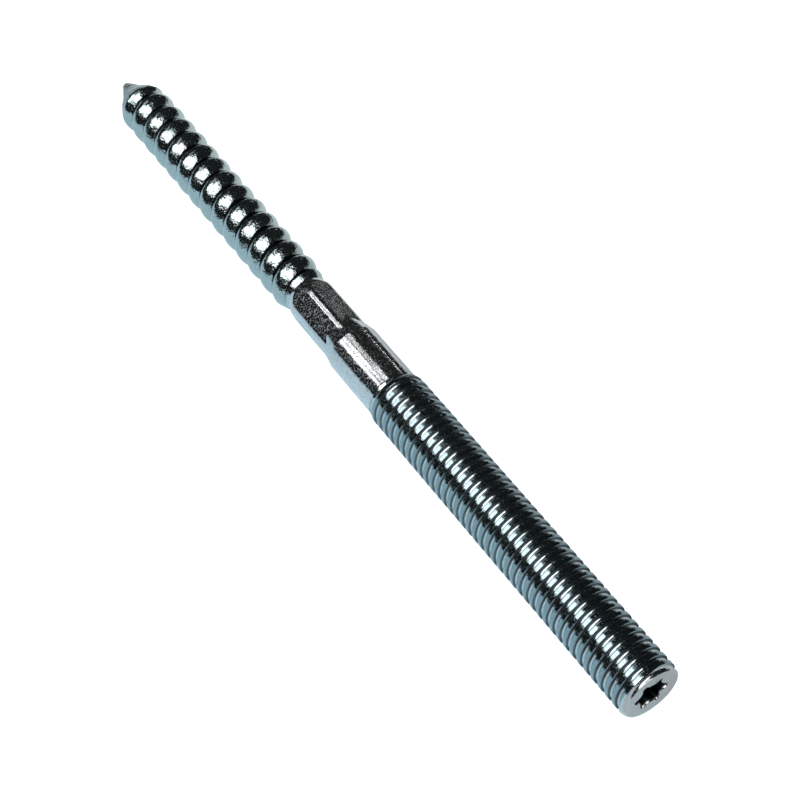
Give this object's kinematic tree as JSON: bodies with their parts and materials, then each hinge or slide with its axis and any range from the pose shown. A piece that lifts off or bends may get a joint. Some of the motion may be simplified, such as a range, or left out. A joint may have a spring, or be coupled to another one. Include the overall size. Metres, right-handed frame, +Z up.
{
  "type": "hanger bolt",
  "caption": "Hanger bolt with a coarse wood thread and blunt point at one end, wrench flats and a plain shank in the middle, and a metric machine thread with a lobed drive socket at the other.",
  "frame": {"origin": "on the surface that the bolt lies on, under the middle of its length", "axes": "+X along the bolt's axis, out of the machine-thread end; +Z up; the axis is half the thread's major diameter above the surface"},
  "size_m": [0.12, 0.0078, 0.0079],
  "materials": {
    "zinc_plated_steel": "bright zinc plating with a faint blue tint, finely mottled"
  },
  "bodies": {
    "root": {"hanger_bolt": "zinc_plated_steel"}
  },
  "joints": []
}
